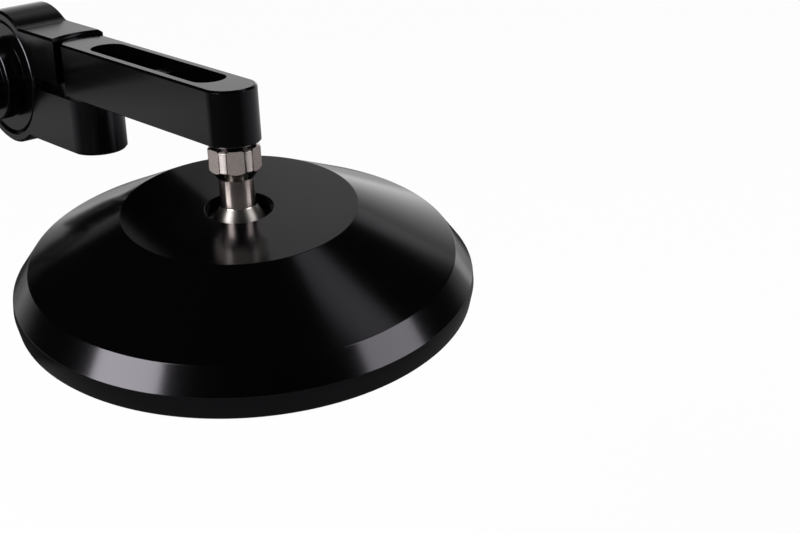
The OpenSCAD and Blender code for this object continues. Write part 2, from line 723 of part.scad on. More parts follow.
// The cup is pushed up against the lower liner by the wave spring
module seat_cup() {
    hole_r = 3;
    color("#c4c1bc") in_head() difference() {
        translate([0, 0, -cup_bottom]) cylinder(h = cup_bottom - cup_top, r = cup_r);
        sphere(r = seat_r);
        translate([0, 0, -cup_bottom - cut]) cylinder(h = cup_bottom, r = hole_r);
    }
}

// A dished spring: its outer edge presses on the plate and its inner edge on the cup
module seat_spring() {
    out_r = cup_r - 0.4;
    in_r = out_r - seat_spring_w;
    color("#8d8b88") in_head() translate([0, 0, -plate_top]) rotate_extrude() polygon([
        [in_r, seat_spring_rise], [out_r, 0], [out_r, seat_spring_t], [in_r, seat_spring_rise + seat_spring_t]
    ]);
}

module retaining_plate() {
    color("#b0aca6") in_head() difference() {
        translate([0, 0, -plate_bottom]) cylinder(h = plate_t, r = hub_r);
        for (i = [0 : plate_screws - 1])
            rotate([0, 0, i * 360 / plate_screws]) translate([plate_screw_r, 0, -plate_bottom]) {
                translate([0, 0, -cut]) cylinder(h = plate_t + 2 * cut, r = plate_screw_d / 2 + tap_gap, $fn = 48);
                cylinder(h = plate_screw_head_r - plate_screw_d / 2 + tap_gap,
                    r1 = plate_screw_head_r + tap_gap, r2 = plate_screw_d / 2, $fn = 48);
            }
    }
}

module plate_screw_set() {
    color("#8d8b88") in_head() for (i = [0 : plate_screws - 1])
        rotate([0, 0, i * 360 / plate_screws]) translate([plate_screw_r, 0, -plate_bottom]) difference() {
            union() {
                cylinder(h = plate_screw_head_r - plate_screw_d / 2, r1 = plate_screw_head_r,
                    r2 = plate_screw_d / 2, $fn = 48);
                cylinder(h = plate_screw_len, r = plate_screw_d / 2 - tap_gap, $fn = 48);
            }
            translate([0, 0, -cut]) cylinder(h = cut + 0.8, r = 0.8, $fn = 6);
        }
}

module glass_tape() {
    color("#303032") in_head() translate([0, 0, -glass_back]) difference() {
        cylinder(h = tape_t, r = glass_r);
        translate([0, 0, -cut]) cylinder(h = tape_t + 2 * cut, r = step_r);
    }
}

// The glass is a shallow dome of even thickness, as a convex mirror is
module mirror_glass() {
    rings = 8;
    function dome(r) = glass_curve_r - sqrt(pow(glass_curve_r, 2) - pow(r, 2));
    color("#c9d2d8") in_head() translate([0, 0, -lip_down]) rotate_extrude($fn = 192) polygon(concat(
        [for (i = [0 : rings]) [glass_r * i / rings, dome(glass_r * i / rings)]],
        [for (i = [rings : -1 : 0]) [glass_r * i / rings, dome(glass_r * i / rings) + glass_t]]
    ));
}

bar_plug();
expander_sleeve();
sleeve_ring();
wedge_nut();
plug_bolt();
bolt_washer();
clamp_body();
pinch_screw();
pivot_bush();
arm();
pivot_screw();
pivot_washer();
spring_washer();
ball_stud();
upper_liner();
lower_liner();
housing();
seat_cup();
seat_spring();
retaining_plate();
plate_screw_set();
glass_tape();
mirror_glass();
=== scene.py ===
"""Looks of a motorcycle bar end mirror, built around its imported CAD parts."""
import math

import bpy
from bpy.props import FloatProperty, FloatVectorProperty, IntProperty, PointerProperty
from mathutils import Matrix, Vector


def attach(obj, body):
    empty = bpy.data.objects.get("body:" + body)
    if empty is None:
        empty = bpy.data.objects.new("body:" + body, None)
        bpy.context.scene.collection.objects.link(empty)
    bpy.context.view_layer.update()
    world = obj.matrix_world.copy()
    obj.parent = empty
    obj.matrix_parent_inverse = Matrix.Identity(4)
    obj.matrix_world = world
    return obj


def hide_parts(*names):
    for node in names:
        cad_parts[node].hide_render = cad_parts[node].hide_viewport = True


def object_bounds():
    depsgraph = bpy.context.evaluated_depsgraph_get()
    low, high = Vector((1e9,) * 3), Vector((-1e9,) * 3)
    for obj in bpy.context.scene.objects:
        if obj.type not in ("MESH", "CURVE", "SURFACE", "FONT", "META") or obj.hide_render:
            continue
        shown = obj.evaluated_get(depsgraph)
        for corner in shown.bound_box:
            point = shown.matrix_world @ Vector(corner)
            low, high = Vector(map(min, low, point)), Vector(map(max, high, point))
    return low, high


bl_info = {
    "name": "Bar End Mirror",
    "version": (1, 0, 0),
    "blender": (4, 5, 0),
    "location": "3D View > Sidebar > Mirror",
    "description": "Builds the finishes, detail pieces and studio of a bar end mirror",
    "category": "Object",
}

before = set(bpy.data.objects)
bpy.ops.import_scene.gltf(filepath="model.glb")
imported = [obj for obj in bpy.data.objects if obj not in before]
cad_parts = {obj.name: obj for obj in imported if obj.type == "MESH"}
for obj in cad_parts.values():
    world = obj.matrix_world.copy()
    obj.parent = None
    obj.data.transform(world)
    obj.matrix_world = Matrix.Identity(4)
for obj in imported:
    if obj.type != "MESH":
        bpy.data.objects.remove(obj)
CAD_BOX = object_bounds()

MM = 0.001
# Places from the part's source, in metres
MID_Y = 0.0115
STUD_X = 0.0957
BALL = Vector((STUD_X, MID_Y, -0.0231))
HEAD_TILT = (math.radians(4.6), math.radians(8.4), 0.0)
QUARTER_TURN = math.radians(90)

# Points closer than this are one, and faces that turn less than this are one plane
SAME_PLACE, ONE_PLANE = 0.001 * MM, math.radians(0.3)

# The floor lies below everything that the turning clamp can reach
FLOOR_Z = -0.16
# The gloss sheet lies just under the rim's lower edge
SHEET_Z = CAD_BOX[0][2] - 0.15 * MM
# The backdrop stands across the camera's view, behind the part
WALL_WAY = math.radians(137)
WALL_DISTANCE, WALL_WIDTH, WALL_HEIGHT, WALL_SHIFT = 1.7, 2.7, 1.4, 0.2
WHITE = (1.0, 1.0, 1.0, 1.0)


class MirrorFinish(bpy.types.PropertyGroup):
    """Colours and gloss of the mirror's surfaces"""

    black_colour: FloatVectorProperty(
        name="Anodised Black", description="Colour of the anodised parts", subtype="COLOR",
        default=(0.0008, 0.00076, 0.00086), min=0.0, max=1.0)
    black_roughness: FloatProperty(
        name="Black Roughness", description="Roughness of the anodised parts",
        default=0.15, min=0.0, max=1.0, subtype="FACTOR")
    black_ior: FloatProperty(
        name="Black Refraction", description="Refractive index of the sealed anodised layer",
        default=1.5, min=1.0, max=2.5)
    sheen_colour: FloatVectorProperty(
        name="Anodised Sheen", description="Tint of the gloss on the anodised parts",
        subtype="COLOR", default=(0.95, 0.895, 1.0), min=0.0, max=1.0)
    steel_colour: FloatVectorProperty(
        name="Stainless Colour", description="Colour of the ball stud", subtype="COLOR",
        default=(0.53, 0.46, 0.43), min=0.0, max=1.0)
    steel_roughness: FloatProperty(
        name="Stainless Roughness", description="Roughness of the ball stud",
        default=0.22, min=0.0, max=1.0, subtype="FACTOR")
    flats_roughness: FloatProperty(
        name="Milled Flat Roughness", description="Roughness of the ball stud's milled flats",
        default=0.66, min=0.0, max=1.0, subtype="FACTOR")
    # The liners' grey is darker than natural nylon, so that they show dim inside the stud's hole
    liner_colour: FloatVectorProperty(
        name="Liner Colour", description="Colour of the plastic ball liners", subtype="COLOR",
        default=(0.36, 0.335, 0.29), min=0.0, max=1.0)


class MirrorDetail(bpy.types.PropertyGroup):
    """Sizes of the pieces that are made here"""

    turned_steps: IntProperty(
        name="Steps Round", description="Number of steps round a turned piece",
        default=160, min=48, max=256)
    edge_break: FloatProperty(
        name="Edge Break", description="Width of the fine bevel on machined black edges",
        default=0.00014, min=0.00002, max=0.0004, precision=5, subtype="DISTANCE", unit="LENGTH")
    steel_edge: FloatProperty(
        name="Stud Edge Break", description="Width of the fine bevel on the ball stud's edges",
        default=0.00016, min=0.00002, max=0.0003, precision=5, subtype="DISTANCE", unit="LENGTH")
    head_width: FloatProperty(
        name="Head Diameter", description="Diameter of the mirror head at its widest edge",
        default=0.104, min=0.1, max=0.112, precision=4, subtype="DISTANCE", unit="LENGTH")
    hole_width: FloatProperty(
        name="Stud Hole Diameter", description="Diameter of the stud's hole in the head",
        default=0.0154, min=0.0149, max=0.0156, precision=4, subtype="DISTANCE", unit="LENGTH")
    flats_width: FloatProperty(
        name="Width Across Flats", description="Width of the ball stud's hexagon across its flats",
        default=0.011, min=0.0105, max=0.0116, precision=4, subtype="DISTANCE", unit="LENGTH")
    collar_width: FloatProperty(
        name="Hexagon Collar", description="Diameter of the collar that the flats are milled on",
        default=0.0118, min=0.0117, max=0.0126, precision=4, subtype="DISTANCE", unit="LENGTH")
    bolt_pitch: FloatProperty(
        name="Bolt Pitch", description="Pitch of the threads",
        default=0.001, min=0.0007, max=0.0012, precision=5, subtype="DISTANCE", unit="LENGTH")
    thread_depth: FloatProperty(
        name="Thread Depth", description="Depth of the threads",
        default=0.0005, min=0.0003, max=0.0006, precision=5, subtype="DISTANCE", unit="LENGTH")
    knurl_count: IntProperty(
        name="Knurl Ridges", description="Number of ridges round a socket screw's head",
        default=40, min=20, max=60)


class MirrorStage(bpy.types.PropertyGroup):
    """Floor, backdrop and lamps"""

    floor_colour: FloatVectorProperty(
        name="Floor Colour", description="Colour of the floor without its lift to white",
        subtype="COLOR", default=(0.045, 0.045, 0.046), min=0.0, max=1.0)
    wall_level: FloatProperty(
        name="Backdrop Level", description="Brightness of the backdrop in the part's gloss",
        default=1.25, min=0.0)
    left_box: FloatProperty(
        name="Left Softbox", description="Brightness of the softbox on the camera's left",
        default=6.8, min=0.0)
    right_box: FloatProperty(
        name="Right Softbox", description="Brightness of the softbox on the camera's right",
        default=2.9, min=0.0)
    back_box: FloatProperty(
        name="Back Panel", description="Brightness of the dim panel above the backdrop",
        default=0.27, min=0.0)
    top_level: FloatProperty(
        name="Top Light", description="Brightness of the broad light overhead", default=0.6, min=0.0)


def new_group(name, inputs, outputs):
    """Makes an empty shader group with named sockets and returns its tree and its two end nodes"""
    tree = bpy.data.node_groups.new(name, "ShaderNodeTree")
    for label, kind, default in inputs:
        socket = tree.interface.new_socket(name=label, in_out="INPUT", socket_type=kind)
        if default is not None:
            socket.default_value = default
    for label, kind in outputs:
        tree.interface.new_socket(name=label, in_out="OUTPUT", socket_type=kind)
    return tree, tree.nodes.new("NodeGroupInput"), tree.nodes.new("NodeGroupOutput")


def put(tree, kind, values=None, **settings):
    """Adds a node, sets its properties and then its input values by name or number"""
    node = tree.nodes.new(kind)
    for key, value in settings.items():
        setattr(node, key, value)
    for key, value in (values or {}).items():
        node.inputs[key].default_value = value
    return node


def maths(tree, operation, a, b):
    """A Math node whose two inputs are numbers or sockets"""
    node = put(tree, "ShaderNodeMath", operation=operation)
    for socket, value in zip(node.inputs, (a, b)):
        if isinstance(value, (int, float)):
            socket.default_value = value
        else:
            tree.links.new(value, socket)
    return node.outputs[0]


def build_grain():
    """Builds the group of fine blasted grain, with a height for bump and a soft shift of roughness"""
    tree, start, end = new_group(
        "Blasted Grain",
        [("Vector", "NodeSocketVector", None), ("Scale", "NodeSocketFloat", 4000.0),
         ("Roughness", "NodeSocketFloat", 0.2), ("Variation", "NodeSocketFloat", 0.03)],
        [("Height", "NodeSocketFloat"), ("Roughness", "NodeSocketFloat")])
    fine = put(tree, "ShaderNodeTexNoise", {"Detail": 3.0, "Roughness": 0.6})
    broad = put(tree, "ShaderNodeTexNoise", {"Scale": 55.0, "Detail": 2.0})
    tree.links.new(start.outputs["Vector"], fine.inputs["Vector"])
    tree.links.new(start.outputs["Scale"], fine.inputs["Scale"])
    tree.links.new(start.outputs["Vector"], broad.inputs["Vector"])
    shift = maths(tree, "SUBTRACT", broad.outputs["Fac"], 0.5)
    shift = maths(tree, "MULTIPLY", shift, start.outputs["Variation"])
    tree.links.new(fine.outputs["Fac"], end.inputs["Height"])
    tree.links.new(maths(tree, "ADD", start.outputs["Roughness"], shift), end.inputs["Roughness"])


def build_rings():
    """Builds the group of fine rings left by a lathe, round the Z axis of the vector that it gets"""
    tree, start, end = new_group(
        "Lathe Rings",
        [("Vector", "NodeSocketVector", None), ("Pitch", "NodeSocketFloat", 3000.0)],
        [("Height", "NodeSocketFloat")])
    parts = put(tree, "ShaderNodeSeparateXYZ")
    flat = put(tree, "ShaderNodeCombineXYZ")
    tree.links.new(start.outputs["Vector"], parts.inputs[0])
    tree.links.new(parts.outputs["X"], flat.inputs["X"])
    tree.links.new(parts.outputs["Y"], flat.inputs["Y"])
    length = put(tree, "ShaderNodeVectorMath", operation="LENGTH")
    tree.links.new(flat.outputs[0], length.inputs[0])
    ring = put(tree, "ShaderNodeCombineXYZ")
    for axis, place in (("X", length.outputs["Value"]), ("Y", parts.outputs["Z"])):
        tree.links.new(maths(tree, "MULTIPLY", place, start.outputs["Pitch"]), ring.inputs[axis])
    noise = put(tree, "ShaderNodeTexNoise", {"Scale": 1.0, "Detail": 2.0}, noise_dimensions="2D")
    tree.links.new(ring.outputs[0], noise.inputs["Vector"])
    tree.links.new(noise.outputs["Fac"], end.inputs["Height"])


def new_material(name, **constants):
    """Makes a material with one Principled shader whose constants are set on its own sockets"""
    material = bpy.data.materials.new(name)
    material.use_nodes = True
    tree = material.node_tree
    shader = tree.nodes["Principled BSDF"]
    for key, value in constants.items():
        shader.inputs[key.replace("_", " ")].default_value = value
    return material, tree, shader


def object_vector(tree, location=(0.0, 0.0, 0.0), rotation=(0.0, 0.0, 0.0)):
    """Object coordinates, moved and turned so that a pattern's Z axis is the piece's own axis"""
    coords = put(tree, "ShaderNodeTexCoord")
    move = put(tree, "ShaderNodeMapping", {"Location": location, "Rotation": rotation},
               vector_type="TEXTURE")
    tree.links.new(coords.outputs["Object"], move.inputs["Vector"])
    return move.outputs["Vector"]


def vector_of_stud(tree):
    """Object coordinates round the ball stud's axis"""
    return object_vector(tree, (STUD_X, MID_Y, 0.0))


def vector_of_head(tree):
    """Object coordinates round the tilted head's axis"""
    return object_vector(tree, BALL, HEAD_TILT)


def vector_of_plug(tree):
    """Object coordinates round the handlebar's axis"""
    return object_vector(tree, rotation=(QUARTER_TURN, 0.0, 0.0))


def add_bump(tree, shader, height, microns):
    """Feeds a height through a Bump node to the shader's normal"""
    bump = put(tree, "ShaderNodeBump", {"Strength": 1.0, "Distance": microns * 0.000001})
    tree.links.new(height, bump.inputs["Height"])
    tree.links.new(bump.outputs["Normal"], shader.inputs["Normal"])


def use_group(tree, group, vector, **values):
    """Places a shader group on a vector with its own values"""
    node = put(tree, "ShaderNodeGroup", node_tree=group)
    tree.links.new(vector, node.inputs["Vector"])
    for key, value in values.items():
        node.inputs[key].default_value = value
    return node


def add_grain(tree, shader, vector, scale, roughness, variation):
    """Gives the shader the roughness of the blasted grain, and returns the grain's height"""
    grain = use_group(tree, bpy.data.node_groups["Blasted Grain"], vector,
                      Scale=scale, Roughness=roughness, Variation=variation)
    tree.links.new(grain.outputs["Roughness"], shader.inputs["Roughness"])
    return grain.outputs["Height"]


def give(material, *nodes):
    """Replaces the materials of CAD nodes"""
    for name in nodes:
        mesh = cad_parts[name].data
        mesh.materials.clear()
        mesh.materials.append(material)


def turned_finish(name, axis, grain, rings, nodes=(), **constants):
    """A finish with a lathe's rings: grain is scale, roughness and variation, rings is pitch and microns"""
    material, tree, shader = new_material(name, **constants)
    vector = axis(tree)
    add_grain(tree, shader, vector, *grain)
    pitch, microns = rings
    lines = use_group(tree, bpy.data.node_groups["Lathe Rings"], vector, Pitch=pitch)
    add_bump(tree, shader, lines.outputs["Height"], microns)
    give(material, *nodes)
    return tree, shader


def grained_finish(name, grain, microns, nodes=(), **constants):
    """A finish with an even grain: grain is scale, roughness and variation"""
    material, tree, shader = new_material(name, **constants)
    height = add_grain(tree, shader, object_vector(tree), *grain)
    add_bump(tree, shader, height, microns)
    give(material, *nodes)
    return tree, shader, height


def start_from(add, **settings):
    """Deselects everything, adds a primitive and opens it in edit mode with all of it selected"""
    bpy.ops.object.select_all(action="DESELECT")
    add(**settings)
    bpy.ops.object.mode_set(mode="EDIT")
    bpy.ops.mesh.select_all(action="SELECT")
    return bpy.context.object


def select_only(*pieces):
    """Selects just these pieces and makes the first one active"""
    bpy.ops.object.select_all(action="DESELECT")
    for piece in pieces:
        piece.select_set(True)
    bpy.context.view_layer.objects.active = pieces[0]


def turn(name, outline, steps, loop=False):
    """Turns a piece round Z from radius and height pairs: a ring is extruded and resized at each one"""
    radius, height = outline[0]
    piece = start_from(bpy.ops.mesh.primitive_circle_add, vertices=steps, radius=radius,
                       fill_type="NOTHING", location=(0.0, 0.0, height))
    piece.name = name
    if not loop:
        bpy.ops.mesh.edge_face_add()
    for new_radius, new_height in outline[1:] + outline[:1] * loop:
        bpy.ops.mesh.extrude_edges_move(TRANSFORM_OT_translate={"value": (0.0, 0.0, new_height - height)})
        share = new_radius / radius
        bpy.ops.transform.resize(value=(share, share, 1.0), center_override=(0.0, 0.0, new_height))
        radius, height = new_radius, new_height
    if loop:
        bpy.ops.mesh.select_all(action="SELECT")
        bpy.ops.mesh.remove_doubles(threshold=SAME_PLACE)
    else:
        bpy.ops.mesh.edge_face_add()
    bpy.ops.mesh.select_all(action="SELECT")
    bpy.ops.mesh.normals_make_consistent(inside=False)
    return piece


def merged_copy(node, name):
    """A copy of a CAD node, with its loose triangles merged into whole faces, in edit mode"""
    piece = bpy.data.objects.new(name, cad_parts[node].data.copy())
    bpy.context.scene.collection.objects.link(piece)
    select_only(piece)
    bpy.ops.mesh.customdata_custom_splitnormals_clear()
    bpy.ops.object.mode_set(mode="EDIT")
    bpy.ops.mesh.select_all(action="SELECT")
    bpy.ops.mesh.remove_doubles(threshold=SAME_PLACE)
    bpy.ops.mesh.dissolve_limited(angle_limit=ONE_PLANE)
    return piece


def break_edges(width, sharpness=20.0):
    """Gives edges sharper than some degrees a fine round bevel, in edit mode, as a deburred edge has"""
    bpy.ops.mesh.select_mode(type="EDGE")
    bpy.ops.mesh.select_all(action="DESELECT")
    bpy.ops.mesh.edges_select_sharp(sharpness=math.radians(sharpness))
    bpy.ops.mesh.bevel(offset=width, segments=2, affect="EDGES", clamp_overlap=True)
    bpy.ops.mesh.select_mode(type="VERT")


def settle(piece, location=(0.0, 0.0, 0.0), rotation=(0.0, 0.0, 0.0)):
    """Leaves edit mode and puts the piece in its place, with the place in its mesh"""
    if bpy.context.object.mode == "EDIT":
        bpy.ops.object.mode_set(mode="OBJECT")
    select_only(piece)
    bpy.ops.object.transform_apply(location=True, rotation=True, scale=True)
    piece.location = location
    piece.rotation_euler = rotation
    bpy.ops.object.transform_apply(location=True, rotation=True, scale=True)


def finish(piece, body, slot, node, *materials):
    """Smooths the piece with even flats, gives it its materials and lets it ride in place of a CAD node"""
    bpy.ops.object.shade_smooth()
    piece.modifiers.new("Even Flats", "WEIGHTED_NORMAL").keep_sharp = False
    bpy.ops.object.modifier_apply(modifier="Even Flats")
    numbers = [face.material_index for face in piece.data.polygons]
    piece.data.materials.clear()
    for material in materials:
        piece.data.materials.append(bpy.data.materials[material])
    for face, number in zip(piece.data.polygons, numbers):
        face.material_index = number if len(materials) > 1 else 0
    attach(piece, body)
    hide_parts(node)


def join(*pieces):
    """Joins pieces into the first one"""
    select_only(*pieces)
    bpy.ops.object.join()
    return pieces[0]


def thread_ridge(name, crest, depth, pitch, start, length):
    """The ridge of a screw thread round Z: one closed outline, grown upwards by the Screw modifier"""
    piece = start_from(bpy.ops.mesh.primitive_circle_add, vertices=4, radius=pitch,
                       fill_type="NOTHING")
    bpy.ops.object.mode_set(mode="OBJECT")
    piece.name = name
    # The ridge's foot sinks a little into the core; its corners' heights are shares of the pitch
    root = crest - depth - 0.04 * MM
    corners = ((root, -0.44), (crest, -0.07), (crest, 0.07), (root, 0.44))
    for vertex, (radius, share) in zip(piece.data.vertices, corners):
        vertex.co = (radius, 0.0, start + (0.5 + share) * pitch)
    screw = piece.modifiers.new("Thread", "SCREW")
    screw.screw_offset = pitch
    screw.iterations = int(length / pitch) - 1
    screw.steps = screw.render_steps = 28
    bpy.ops.object.modifier_apply(modifier="Thread")
    bpy.ops.object.mode_set(mode="EDIT")
    bpy.ops.mesh.select_all(action="SELECT")
    bpy.ops.mesh.fill_holes(sides=4)
    bpy.ops.mesh.select_all(action="SELECT")
    bpy.ops.mesh.normals_make_consistent(inside=False)
    bpy.ops.object.mode_set(mode="OBJECT")
    return piece


def knurl(piece, radius, low, high, depth):
    """Presses every second side face of a socket screw's head inwards"""
    bpy.ops.object.mode_set(mode="OBJECT")
    mesh = piece.data
    sides = [face for face in mesh.polygons
             if abs(face.normal.z) < 0.01 and low < face.center.z < high
             and face.center.xy.length > radius * 0.97]
    sides.sort(key=lambda face: math.atan2(face.center.y, face.center.x))
    chosen = {face.index for face in sides[::2]}
    for face in mesh.polygons:
        face.select = face.index in chosen
    bpy.ops.object.mode_set(mode="EDIT")
    bpy.ops.mesh.select_mode(type="FACE")
    bpy.ops.mesh.inset(thickness=depth * 0.6, depth=-depth, use_individual=True)
    bpy.ops.mesh.select_mode(type="VERT")
    bpy.ops.object.mode_set(mode="OBJECT")


def hex_socket(piece, across, low, high):
    """Cuts a key socket down Z with a Boolean modifier"""
    cutter = start_from(bpy.ops.mesh.primitive_cylinder_add, vertices=6,
                        radius=across / math.sqrt(3.0), depth=high - low,
                        location=(0.0, 0.0, (high + low) / 2))
    bpy.ops.object.mode_set(mode="OBJECT")
    select_only(piece)
    cut = piece.modifiers.new("Key Socket", "BOOLEAN")
    cut.object = cutter
    cut.operation = "DIFFERENCE"
    cut.solver = "EXACT"
    bpy.ops.object.modifier_apply(modifier="Key Socket")
    bpy.data.objects.remove(cutter)


class MIRROR_OT_finishes(bpy.types.Operator):
    """Gives every CAD part its finish"""

    bl_idname = "mirror.finishes"
    bl_label = "Finishes"

    def execute(self, context):
        look = context.scene.mirror_finish
        build_grain()
        build_rings()
        gloss = look.black_roughness
        satin = gloss + 0.06
        black = {"Base_Color": (*look.black_colour, 1.0), "Metallic": 0.0, "IOR": look.black_ior,
                 "Specular_Tint": (*look.sheen_colour, 1.0)}
        turned_finish("Turned Black Anodised", vector_of_head, (5000.0, gloss, 0.03), (2600.0, 1.2),
                      ("housing",), **black)
        turned_finish("Turned Black Plug", vector_of_plug, (5200.0, satin, 0.05), (2400.0, 2.0),
                      ("bar_plug",), **black)
        grained_finish("Milled Black Anodised", (5200.0, gloss, 0.05), 2.0, ("arm",), **black)
        grained_finish("Satin Black Anodised", (4600.0, satin, 0.06), 3.0, ("clamp_body",), **black)

        # The lathe's rings blur a reflection along the stud and leave it sharp across
        for name, colour, along, grain, rings in (
                ("Turned Stainless", look.steel_colour, 0.75, (3000.0, look.steel_roughness, 0.08),
                 (5200.0, 8.0)),
                ("Coarse Turned Stainless", (0.43, 0.385, 0.37), 0.85, (2200.0, 0.42, 0.1), (2600.0, 40.0)),
                ("Ground Stainless", (0.34, 0.315, 0.3), 0.75, (2200.0, 0.44, 0.1), (2600.0, 10.0)),
                ("Polished Stainless", (0.5, 0.46, 0.44), 0.3, (2200.0, 0.13, 0.1), (2600.0, 2.0))):
            tree, shader = turned_finish(name, vector_of_stud, grain, rings, Base_Color=(*colour, 1.0),
                                         Metallic=1.0, Anisotropic=along, Anisotropic_Rotation=0.25)
            around = put(tree, "ShaderNodeTangent", direction_type="RADIAL", axis="Z")
            tree.links.new(around.outputs["Tangent"], shader.inputs["Tangent"])
        give(bpy.data.materials["Turned Stainless"], "ball_stud")

        tree, shader, height = grained_finish("Milled Stainless", (2600.0, look.flats_roughness, 0.14), 20.0,
                                              Metallic=0.85)
        mottle = put(tree, "ShaderNodeMix", data_type="RGBA")
        factor, dark, bright = mottle.inputs[0], mottle.inputs[6], mottle.inputs[7]
        tree.links.new(height, factor)
        dark.default_value = (0.28, 0.238, 0.22, 1.0)
        bright.default_value = (0.62, 0.555, 0.53, 1.0)
        tree.links.new(mottle.outputs[2], shader.inputs["Base Color"])

        turned_finish("Bare Aluminium", vector_of_plug, (3500.0, 0.32, 0.1), (3800.0, 10.0),
                      ("expander_sleeve", "wedge_nut"), Base_Color=(0.6, 0.59, 0.58, 1.0), Metallic=1.0)
        grained_finish("Zinc Plated Steel", (2500.0, 0.3, 0.14), 10.0,
                       ("plug_bolt", "bolt_washer", "pivot_screw", "pivot_washer", "spring_washer",
                        "seat_cup", "seat_spring", "retaining_plate", "plate_screw_set"),
                       Base_Color=(0.46, 0.46, 0.47, 1.0), Metallic=1.0)
        grained_finish("Black Oxide Steel", (3000.0, 0.38, 0.12), 10.0, ("pinch_screw",),
                       Base_Color=(0.02, 0.02, 0.021, 1.0), Metallic=0.6)
        # The liners get a grey darker than natural nylon, so that they show dim inside the stud's hole
        grained_finish("Natural Nylon", (1800.0, 0.45, 0.1), 10.0, ("upper_liner", "lower_liner"),
                       Base_Color=(*look.liner_colour, 1.0), Metallic=0.0, IOR=1.53, Subsurface_Weight=0.15)
        grained_finish("Black Nylon", (1800.0, 0.5, 0.1), 10.0, ("pivot_bush",),
                       Base_Color=(0.012, 0.012, 0.0125, 1.0), Metallic=0.0)
        grained_finish("Black Rubber", (1500.0, 0.65, 0.1), 30.0, ("sleeve_ring", "glass_tape"),
                       Base_Color=(0.012, 0.012, 0.012, 1.0), Metallic=0.0)

        material, tree, shader = new_material(
            "Silvered Glass", Base_Color=(0.86, 0.89, 0.9, 1.0), Metallic=1.0, Coat_Weight=0.6,
            Coat_Roughness=0.02)
        add_grain(tree, shader, vector_of_head(tree), 900.0, 0.03, 0.02)
        give(material, "mirror_glass")
        return {"FINISHED"}


class MIRROR_OT_housing(bpy.types.Operator):
    """Turns the head's housing, with every edge deburred"""

    bl_idname = "mirror.housing"
    bl_label = "Housing"

    def execute(self, context):
        detail = context.scene.mirror_detail
        rim, hole = detail.head_width / 2, detail.hole_width / 2
        top, roof, lip, shelf = 8.2 * MM, 5.8 * MM, -14.65 * MM, -10.76 * MM
        hub, hub_end, mouth, seat = 16.5 * MM, -10.75 * MM, 11.5 * MM, 9.05 * MM
        outline = [
            # The flat top, the cone and the bevel
            (hole, top), (26.6 * MM, top), (rim - 3.8 * MM, -3.5 * MM), (rim, -9 * MM),
            # The rim and its lip
            (rim + 0.15 * MM, -11 * MM), (rim - 0.5 * MM, -14.15 * MM), (rim - MM, lip),
            (rim - 2.4 * MM, lip),
            # The recess of the glass and the inner wall
            (rim - 2.4 * MM, shelf), (rim - 7 * MM, shelf), (rim - 7 * MM, -4.6 * MM), (25.9 * MM, roof),
            # The hub that holds the ball
            (hub, roof), (hub, hub_end), (mouth, hub_end), (mouth, -0.6 * MM)]
        # The seat of the upper liner is a sphere round the ball's centre
        inner, steps = math.asin(hole / seat), 8
        for step in range(steps + 1):
            angle = inner + (QUARTER_TURN - inner) * (steps - step) / steps
            outline.append((seat * math.sin(angle), seat * math.cos(angle)))
        piece = turn("housing_turned", outline, detail.turned_steps, loop=True)
        break_edges(detail.edge_break)
        settle(piece, BALL, HEAD_TILT)
        finish(piece, "head", "black_aluminium", "housing", "Turned Black Anodised")
        return {"FINISHED"}


class MIRROR_OT_ball_stud(bpy.types.Operator):
    """Turns the ball stud and mills its six flats"""

    bl_idname = "mirror.ball_stud"
    bl_label = "Ball Stud"

    def execute(self, context):
        detail = context.scene.mirror_detail
        collar_r, flat = detail.collar_width / 2, detail.flats_width / 2
        steps, shank_r, ball_r = detail.turned_steps, 4 * MM, 8 * MM
        collar = turn("ball_stud_turned", [
            (4.5 * MM, 0.0), (4.5 * MM, -0.4 * MM), (collar_r - 0.3 * MM, -MM), (collar_r, -1.3 * MM),
            (collar_r, -5.888 * MM), (shank_r, -8.32 * MM)], steps)
        for side in range(6):
            way = math.radians(30 + 60 * side)
            normal = Vector((math.cos(way), math.sin(way), 0.0))
            bpy.ops.mesh.select_all(action="SELECT")
            bpy.ops.mesh.bisect(plane_co=normal * flat, plane_no=normal, use_fill=True, clear_outer=True)
        break_edges(detail.steel_edge * 0.6, 8.0)
        bpy.ops.object.mode_set(mode="OBJECT")

        ball = []
        for degrees in range(56, 179, 3):
            angle = math.radians(degrees)
            ball.append((ball_r * math.sin(angle), BALL.z + ball_r * math.cos(angle)))
        stem = turn("stem", [(shank_r, -8 * MM), (shank_r, -14.724 * MM), *ball], steps)
        break_edges(detail.steel_edge)
        bpy.ops.object.mode_set(mode="OBJECT")

        crest = 2.95 * MM
        root = crest - detail.thread_depth
        core = turn("core", [(crest - 0.3 * MM, 9 * MM), (root, 8.5 * MM), (root, -0.5 * MM)], 48)
        bpy.ops.object.mode_set(mode="OBJECT")
        ridge = thread_ridge("ridge", crest, detail.thread_depth, detail.bolt_pitch, 0.4 * MM, 8.6 * MM)
        piece = join(collar, stem, core, ridge)

        # Numbers of the materials in the order that finish gets them; the shank keeps the first
        milled, coarse, ground, polished = 1, 2, 3, 4
        smallest_flat = 8 * MM * MM
        for face in piece.data.polygons:
            level = face.center.z / MM
            if abs(face.normal.z) < 0.1 and -6.0 < level < -1.0:
                face.material_index = milled if face.area > smallest_flat else coarse
            elif -8.4 < level < 0:
                face.material_index = polished
            elif level < -14.8:
                face.material_index = ground
        settle(piece, (STUD_X, MID_Y, 0.0))
        finish(piece, "arm_group", "stainless", "ball_stud", "Turned Stainless", "Milled Stainless",
               "Coarse Turned Stainless", "Ground Stainless", "Polished Stainless")
        return {"FINISHED"}


class MIRROR_OT_arm(bpy.types.Operator):
    """Deburrs the edges of the milled arm and of its pocket"""

    bl_idname = "mirror.arm"
    bl_label = "Arm"

    def execute(self, context):
        piece = merged_copy("arm", "arm_milled")
        break_edges(context.scene.mirror_detail.edge_break)
        settle(piece)
        finish(piece, "arm_group", "black_aluminium", "arm", "Milled Black Anodised")
        return {"FINISHED"}


